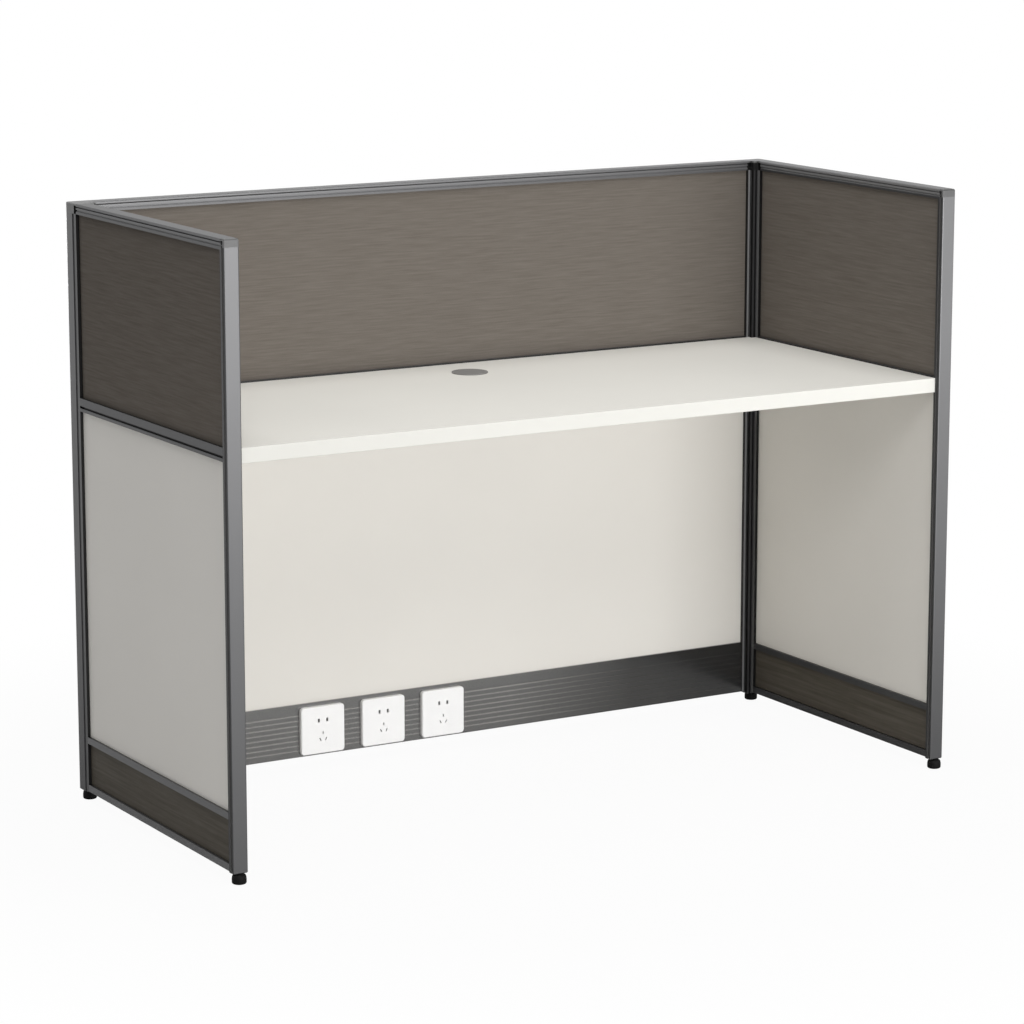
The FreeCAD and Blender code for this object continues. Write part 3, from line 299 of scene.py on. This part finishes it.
def stile_metal(name, color, dark, face_axis, bright_from=0.0, bright_to=1.0):
    """Stile with a painted highlight band on its faces, and painted shade beside it and towards its tile.
    """
    look = Look(name)
    out = look.math("ABSOLUTE", look.along("X"))
    past_start = look.math("GREATER_THAN", out, bright_from)
    before_end = look.math("LESS_THAN", out, bright_to)
    face = look.math("GREATER_THAN", look.facing(face_axis), faces_side)
    bright = look.math("MULTIPLY", face, look.math("MULTIPLY", past_start, before_end))
    # The dark colour is painted shade, the band a painted highlight
    shown = look.blend(bright, dark, drawn_metal(look, color, upright))
    return look.set(Base_Color=shown, Metallic=frame_metallic, Roughness=frame_rough)


def trim_metal(name, color, top_shade_color, lip_shade_color, lie):
    """Top trim with painted shade on its top and on its lower lip, and soft painted shade in its grooves.
    """
    look = Look(name)
    top = look.math("GREATER_THAN", look.facing("Z"), faces_up)
    lip = look.math("LESS_THAN", look.along("Z"), trim_lip_high)
    shown = look.blend(top, drawn_metal(look, color, lie), top_shade_color)
    shown = look.painted_gap_shade(look.blend(lip, shown, lip_shade_color), black_below=-0.3, clear_above=0.6)
    return look.set(Base_Color=shown, Metallic=frame_metallic, Roughness=frame_rough)


def ribbed_metal(name, color, crest_highlight_color):
    """Drawn cover with painted highlights on the crests of its level ribs, and painted shade towards the
    right screen, darker and plainer there, standing in for the dark screen that it reflects.
    """
    # Where the painted shade towards the right screen starts and ends, how much light is left, and its
    # darkest colour
    bright_to, dark_from = 0.15, 0.41
    least_lit, unlit_color = 0.42, grey(55)
    look = Look(name)
    up = look.along("Z")
    from_crest = look.math("PINGPONG", look.math("SUBTRACT", up, first_rib), rib_pitch / 2)
    crest = look.span(from_crest, 1.0, 0.0, rib_half_crest / 2, rib_half_crest)
    above = look.math("GREATER_THAN", up, first_rib - rib_pitch / 2)
    below = look.math("LESS_THAN", up, first_rib + rib_pitch * (rib_count - 0.5))
    ribs = look.math("MULTIPLY", crest, look.math("MULTIPLY", above, below))
    lit = look.span(look.along("X"), 1.0, least_lit, bright_to, dark_from)
    ground = drawn_metal(look, color, across, contrast=0.01)
    shown = look.blend(look.math("MULTIPLY", ribs, lit), ground, crest_highlight_color)
    return look.set(Base_Color=look.blend(lit, unlit_color, shown), Metallic=0.85, Roughness=0.2)


# Plastics, boards and cloth
def spark(look):
    """Fine texture of moulded plastic, also fed to the normal."""
    texture = look.even_noise(1100)
    look.relief(texture, strength=0.08, distance=0.0001)
    return texture


def end_cap_plastic(name, color, top_shade_color):
    """End cap with painted shade on its top and in its gaps."""
    look = Look(name)
    spark(look)
    top = look.math("GREATER_THAN", look.facing("Z"), faces_up)
    shown = look.painted_gap_shade(look.blend(top, color, top_shade_color))
    return look.set(Base_Color=shown, Roughness=cap_rough, Specular_IOR_Level=cap_gloss)


def corner_cap_plastic(name, color):
    """Corner cap with black painted shade inside the corner under its plate, and painted shade in its gaps.
    """
    look = Look(name)
    spark(look)
    corner = inner_corner(look)[1]
    under = look.math("LESS_THAN", look.along("Z"), cap_plate_low)
    shown = look.blend(look.math("MULTIPLY", corner, under), look.painted_gap_shade(color), hollow_shade_tone)
    return look.set(Base_Color=shown, Roughness=cap_rough, Specular_IOR_Level=cap_gloss)


def plastic(name, color, rough, coat=0.0, gloss=0.5):
    """Moulded plastic with a faint cloudy tone."""
    look = Look(name)
    texture = spark(look)
    clouds = look.span(look.even_noise(30), 0.0, 1.0)
    return look.set(
        Base_Color=look.blend(clouds, shade(color, 0.97), shade(color, 1.03)),
        Roughness=look.span(texture, rough - 0.04, rough + 0.06),
        Coat_Weight=coat,
        Specular_IOR_Level=gloss,
    )


def laminate(name, color, rough, right_lit_color=None):
    """Smooth board with a faint cloudy tone and a fine pearl texture, and painted light that gives it
    another tone at its right.
    """
    turn_from, turn_to = -0.6, 0.7
    look = Look(name)
    clouds = look.span(look.even_noise(3, detail=3.0), 0.0, 1.0)
    pearl = look.even_noise(1400)
    look.relief(pearl, strength=0.05, distance=0.0001)
    shown = look.blend(clouds, shade(color, 0.985), shade(color, 1.015))
    # Painted light: another tone towards the right
    if right_lit_color:
        shown = look.blend(look.span(look.along("X"), 0.0, 1.0, turn_from, turn_to), shown, right_lit_color)
    return look.set(
        Base_Color=shown,
        Roughness=look.span(pearl, rough - 0.04, rough + 0.05),
        Specular_IOR_Level=0.3,
    )


def cloth(name, dark, light):
    """Woven cloth with short level slubs over a fine weave."""
    look = Look(name)
    slubs = look.noise((14, 14, 330), detail=4.0, rough=0.6)
    weave = look.noise((700, 700, 1500), detail=2.0)
    tone = look.math("ADD", look.span(slubs, 0.0, 0.7), look.span(weave, 0.0, 0.3))
    look.relief(look.math("ADD", slubs, weave), strength=0.3, distance=0.0004)
    return look.set(Base_Color=look.blend(tone, dark, light), Roughness=0.95, Specular_IOR_Level=0.0)


def dark_wood(name, dark, light):
    """Dark laminate with long level grain."""
    look = Look(name)
    bands = look.noise((5, 5, 160), detail=6.0, rough=0.65)
    pores = look.noise((40, 40, 1200), detail=3.0)
    band_tone = look.span(bands, 0.0, 0.75, from_low=0.35, from_high=0.65)
    tone = look.math("ADD", band_tone, look.span(pores, 0.0, 0.25))
    look.relief(pores, strength=0.15, distance=0.0003)
    return look.set(Base_Color=look.blend(tone, dark, light), Roughness=0.55, Specular_IOR_Level=0.1)


# Finishes by the record's slot, for what isn't told apart by its place
finishes = {
    # End caps with painted shade on their top
    "cap_plastic": end_cap_plastic("cap_look", grey(98), top_shade_color=grey(72)),
    "fabric": cloth("fabric_look", srgb(100, 94, 87), srgb(117, 111, 105)),
    "white_laminate": laminate("white_tile_look", srgb(229, 226, 220), rough=0.5),
    "skirting_wood": dark_wood("skirting_look", srgb(74, 69, 61), srgb(95, 90, 82)),
    "raceway_metal": ribbed_metal("raceway_look", grey(138), crest_highlight_color=srgb(186, 185, 184)),
    "socket_plastic": plastic("socket_look", grey(255), rough=0.3, coat=0.3),
    "socket_moulding": plastic("socket_moulding_look", srgb(225, 225, 223), rough=0.5),
    "zinc_steel": coated_metal("zinc_look", srgb(190, 190, 188), metallic=0.9, rough=0.35),
    "foot_plastic": plastic("foot_look", grey(11), rough=0.6, gloss=0.12),
    "cleat_metal": coated_metal("cleat_look", srgb(110, 110, 108), metallic=0.5, rough=0.4),
    "grommet_plastic": plastic("grommet_look", srgb(128, 127, 125), rough=0.5),
    "worktop_laminate": laminate("worktop_look", srgb(238, 236, 229), rough=0.42),
    # Edge band painted lighter towards its right, as painted light
    "edge_plastic": laminate("edge_look", srgb(210, 209, 203), rough=0.4, right_lit_color=srgb(228, 227, 221)),
    "contact_brass": coated_metal("brass_look", srgb(200, 165, 95), metallic=0.9, rough=0.3),
}

# Looks by the end of the node's name, for the frame and its corner caps. The same frame metal gets lighter
# and darker tones from piece to piece, as painted light and shade.
looks = {
    "left_end_post": end_post_metal("left_end_post_look", low_color=cool_grey(88),
                                    high_color=cool_grey(105)),
    "right_end_post": end_post_metal("right_end_post_look", low_color=cool_grey(86),
                                     high_color=cool_grey(126)),
    "_corner_post": corner_post_metal("corner_post_look", low_color=cool_grey(84), high_color=cool_grey(98),
                                      strip_shade_color=cool_grey(84), flange_shade_color=cool_grey(66)),
    "_corner_cap": corner_cap_plastic("corner_cap_look", grey(104)),
    "left_rear_stile": stile_metal("left_stile_look", cool_grey(86), dark=grey(46), face_axis="X"),
    "right_rear_stile": stile_metal("right_stile_look", cool_grey(126), dark=grey(30), face_axis="X"),
    "_stile": stile_metal("back_stile_look", cool_grey(142), dark=grey(46), face_axis="Y",
                          bright_from=stile_band_from, bright_to=stile_band_to),
    "left_top_trim": trim_metal("left_trim_look", frame_tone, top_shade_color=cool_grey(56),
                                lip_shade_color=cool_grey(84), lie=deep),
    "right_top_trim": trim_metal("right_trim_look", cool_grey(127), top_shade_color=cool_grey(80),
                                 lip_shade_color=cool_grey(66), lie=deep),
    "back_top_trim": trim_metal("back_trim_look", cool_grey(108), top_shade_color=cool_grey(88),
                                lip_shade_color=frame_tone, lie=across),
    "back_mid_rail": coated_metal("back_rail_look", frame_tone, lie=across),
}
# Side rails of one metal, made lighter and darker one by one as painted light and shade
side_rail_painted_tones = {
    "left_mid_rail": cool_grey(73),
    "left_lower_rail": cool_grey(106),
    "left_bottom_rail": cool_grey(110),
    "right_mid_rail": frame_tone,
    "right_lower_rail": cool_grey(74),
    "right_bottom_rail": cool_grey(68),
}
for rail, tone in side_rail_painted_tones.items():
    looks[rail] = coated_metal(rail + "_look", tone, lie=deep)

slot_of = {part["node"]: part["material_slot"] for part in frame["record"]["subparts"]}


def look_of(node_name):
    """Look of one node: that of its place on the frame, or its slot's finish."""
    for ending, material in looks.items():
        if node_name.endswith(ending):
            return material
    return finishes[slot_of[node_name]]


for node_name, thing in nodes.items():
    thing.data.materials.clear()
    thing.data.materials.append(look_of(node_name))


def mesh_object(name, points, faces, material):
    """New object from points and faces, with one material."""
    mesh = bpy.data.meshes.new(name)
    mesh.from_pydata(points, [], faces)
    mesh.update()
    mesh.materials.append(material)
    thing = bpy.data.objects.new(name, mesh)
    bpy.context.collection.objects.link(thing)
    return thing


# Fabric tiles: boards whose cloth falls away softly before it enters the frame
in_channel = 0.0037
fall_reach = 0.018
fall_deep = 0.0009
middle_parts = 8

# Distances from the frame at which the falling cloth has points
fall_steps = (0.0, 0.003, 0.006, 0.010, fall_reach)


def fall(distance):
    """How far the cloth lies below the board's face at a distance from the nearest edge."""
    share = min(1.0, max(0.0, (distance - in_channel) / fall_reach))
    return fall_deep * (1 - share) ** 2


def stations(start, end):
    """Places of the points across a board, closer together near its edges."""
    steps = [0.0] + [in_channel + step for step in fall_steps]
    clear = in_channel + fall_reach * 2
    middle = [start + (end - start) * part / middle_parts for part in range(1, middle_parts)]
    inner = [place for place in middle if start + clear < place < end - clear]
    return [start + step for step in steps] + inner + [end - step for step in reversed(steps)]


def board_points(longs, ups, low, high, along, through):
    """Points of a board's two faces, row by row."""
    points = []
    for face, inward in ((low[through], 1), (high[through], -1)):
        for up in ups:
            for place in longs:
                distance = min(place - longs[0], longs[-1] - place, up - ups[0], ups[-1] - up)
                point = [0.0, 0.0, up]
                point[along] = place
                point[through] = face + inward * fall(distance)
                points.append(point)
    return points


def board_faces(count_long, count_up, flip):
    """Faces over both sides of a board and round its edge, turned over if flip is true."""

    def index(side, up, place):
        return side * count_long * count_up + up * count_long + place

    faces = []
    for side in (0, 1):
        for up in range(count_up - 1):
            for place in range(count_long - 1):
                quad = [index(side, up, place), index(side, up, place + 1),
                        index(side, up + 1, place + 1), index(side, up + 1, place)]
                faces.append(quad[::-1] if flip == (side == 0) else quad)
    ring = [(0, place) for place in range(count_long)]
    ring += [(up, count_long - 1) for up in range(1, count_up)]
    ring += [(count_up - 1, place) for place in range(count_long - 2, -1, -1)]
    ring += [(up, 0) for up in range(count_up - 2, 0, -1)]
    for first, second in zip(ring, ring[1:] + ring[:1]):
        quad = [index(0, *first), index(1, *first), index(1, *second), index(0, *second)]
        faces.append(quad[::-1] if flip else quad)
    return faces


def cloth_board(name, node):
    """Board the size of its node, with faces that fall away near the frame."""
    low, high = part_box(node)
    through = 1 if high[0] - low[0] > high[1] - low[1] else 0
    along = 1 - through
    longs = stations(low[along], high[along])
    ups = stations(low[2], high[2])
    points = board_points(longs, ups, low, high, along, through)
    faces = board_faces(len(longs), len(ups), flip=through == 0)
    board = mesh_object(name, points, faces, finishes["fabric"])
    for polygon in board.data.polygons:
        polygon.use_smooth = abs(polygon.normal[through]) > faces_side
    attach(board, "frame_body")
    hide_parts(node)


for side in ("left", "right", "back"):
    cloth_board(side + "_cloth_board", side + "_fabric_tile")


# Levelling feet: pads with a rounded sole and a sloping shoulder under a wrench hexagon
hexagon_corners = 6
hexagon_radius = 0.0088
pad_corners = 48
pad_top = 0.015

# Outline of the pad, as shares of its radius with heights
sole = [(0.80, 0.0), (0.90, 0.0005), (0.96, 0.0013), (0.99, 0.0024), (1.0, 0.0040)]
shoulder = [(1.0, 0.0085), (0.96, 0.0118), (0.89, 0.0141), (0.80, pad_top)]


def shell(middle, corners, rings, start):
    """Points and faces of a closed upright shell, with its points numbered from start."""
    points = []
    faces = []
    for reach, up in rings:
        for step in range(corners):
            angle = 2 * math.pi * step / corners
            points.append((middle[0] + reach * math.cos(angle), middle[1] + reach * math.sin(angle), up))
    for level in range(len(rings) - 1):
        below = start + level * corners
        above = below + corners
        for step in range(corners):
            after = (step + 1) % corners
            faces.append((below + step, below + after, above + after, above + step))
    top = start + (len(rings) - 1) * corners
    faces.append(tuple(start + step for step in reversed(range(corners))))
    faces.append(tuple(top + step for step in range(corners)))
    return points, faces


def turned_foot(node):
    """Pad and hexagon in the place and size of a foot's node."""
    low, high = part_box(node)
    middle = ((low[0] + high[0]) / 2, (low[1] + high[1]) / 2)
    radius = (high[0] - low[0]) / 2
    pad_rings = [(share * radius, up) for share, up in sole + shoulder]
    hexagon_rings = [(hexagon_radius, pad_top), (hexagon_radius, high[2])]
    points, faces = shell(middle, pad_corners, pad_rings, 0)
    more_points, more_faces = shell(middle, hexagon_corners, hexagon_rings, len(points))
    foot = mesh_object(node + "_turned", points + more_points, faces + more_faces, finishes["foot_plastic"])
    for polygon in foot.data.polygons:
        polygon.use_smooth = len(polygon.vertices) == 4 and polygon.center[2] < pad_top
    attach(foot, node.replace("_foot", "_levelling_foot"))
    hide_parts(node)


for corner in ("front_left", "front_right", "back_left", "back_right"):
    turned_foot(corner + "_foot")


# Floor and surroundings, white to the eye and in reflections
white = (1, 1, 1, 1)
floor_tone = (0.6, 0.6, 0.6, 1)
floor_half = 40


def ray_kinds(net):
    """Whether a ray is the eye's own, and whether it is one of a reflection or of glass."""
    path = net.add("ShaderNodeLightPath").outputs
    return path["Is Camera Ray"], net.math("MAXIMUM", path["Is Glossy Ray"], path["Is Transmission Ray"])


def mix_shaders(net, factor, first, second):
    """Mixes two shaders: the first at a factor of 0, the second at 1."""
    node = net.add("ShaderNodeMixShader")
    for socket, value in zip(node.inputs, (factor, first, second)):
        net.feed(socket, value)
    return node.outputs[0]


def fade_out(look, near, far, share):
    """Share that rises to one between two distances from the middle of the floor."""
    reach = look.add("ShaderNodeVectorMath")
    reach.operation = "LENGTH"
    look.feed(reach.inputs[0], look.place)
    return look.span(reach.outputs["Value"], share, 1.0, near, far)


def make_floor():
    """Large pale floor with a soft shadow, shown as white further out and mostly so near the object."""
    look = Look("floor_look")
    look.set(Base_Color=floor_tone, Roughness=0.9)
    glow = look.add("ShaderNodeEmission", Color=white, Strength=1.0).outputs[0]
    eye, mirrored = ray_kinds(look)
    seen = look.math("MULTIPLY", eye, fade_out(look, near=0.9, far=1.5, share=0.95))
    reflected = look.math("MULTIPLY", mirrored, fade_out(look, near=0.6, far=3.0, share=0.0))
    shown = mix_shaders(look, look.math("ADD", seen, reflected), look.shader.outputs[0], glow)
    look.feed(look.tree.nodes["Material Output"].inputs["Surface"], shown)
    corners = [(-floor_half, -floor_half, 0), (floor_half, -floor_half, 0),
               (floor_half, floor_half, 0), (-floor_half, floor_half, 0)]
    mesh_object("floor", corners, [(0, 1, 2, 3)], look.material)


def make_world(level):
    """White surroundings to the eye, even soft light on the object."""
    world = bpy.data.worlds.new("studio")
    bpy.context.scene.world = world
    world.use_nodes = True
    world.node_tree.nodes.clear()
    sky = Nodes(world.node_tree)
    soft = sky.add("ShaderNodeBackground", Color=white, Strength=level).outputs[0]
    bright = sky.add("ShaderNodeBackground", Color=white, Strength=1.0).outputs[0]
    shown = mix_shaders(sky, sky.math("MAXIMUM", *ray_kinds(sky)), soft, bright)
    sky.add("ShaderNodeOutputWorld", Surface=shown)


# Lights and camera
def look_at(thing, place, ahead):
    """Puts a light or a camera at a place, turned to look ahead."""
    thing.location = place
    thing.rotation_euler = ahead.to_track_quat("-Z", "Y").to_euler()


def area_light(name, place, aim, wide, high, power):
    """Soft light with a straight-edged face, in metres and watts."""
    lamp = bpy.data.lights.new(name, "AREA")
    lamp.shape = "RECTANGLE"
    lamp.size = wide
    lamp.size_y = high
    lamp.energy = power
    thing = bpy.data.objects.new(name, lamp)
    bpy.context.collection.objects.link(thing)
    look_at(thing, place, Vector(aim) - Vector(place))


def make_camera(place, turn, down, lens):
    """Camera at a place, turned to the right and tilted down by degrees, with a lens in millimetres."""
    data = bpy.data.cameras.new("camera")
    data.sensor_width = 36
    data.lens = lens
    data.clip_end = 200
    eye = bpy.data.objects.new("camera", data)
    bpy.context.collection.objects.link(eye)
    turn, down = math.radians(turn), math.radians(down)
    ahead = Vector((math.sin(turn) * math.cos(down), math.cos(turn) * math.cos(down), -math.sin(down)))
    look_at(eye, place, ahead)
    bpy.context.scene.camera = eye


make_floor()
make_world(level=0.345)
area_light("front_light", (0.8, -5.6, 0.9), (0, 0, 0.5), wide=3.5, high=1.2, power=180)
area_light("high_light", (-2.0, -4.0, 4.2), (0, 0, 0.6), wide=2.0, high=2.0, power=70)
area_light("back_light", (0.9, 5.6, 0.5), (0, 0, 0.4), wide=3.5, high=0.8, power=65)
area_light("top_light", (0, -0.4, 4.6), (0, 0, 0.6), wide=3.5, high=3.5, power=88)
make_camera((-3.15103, -5.33026, 1.71806), turn=30.4956, down=11.2848, lens=128.707)
bpy.context.scene.view_settings.view_transform = "Standard"
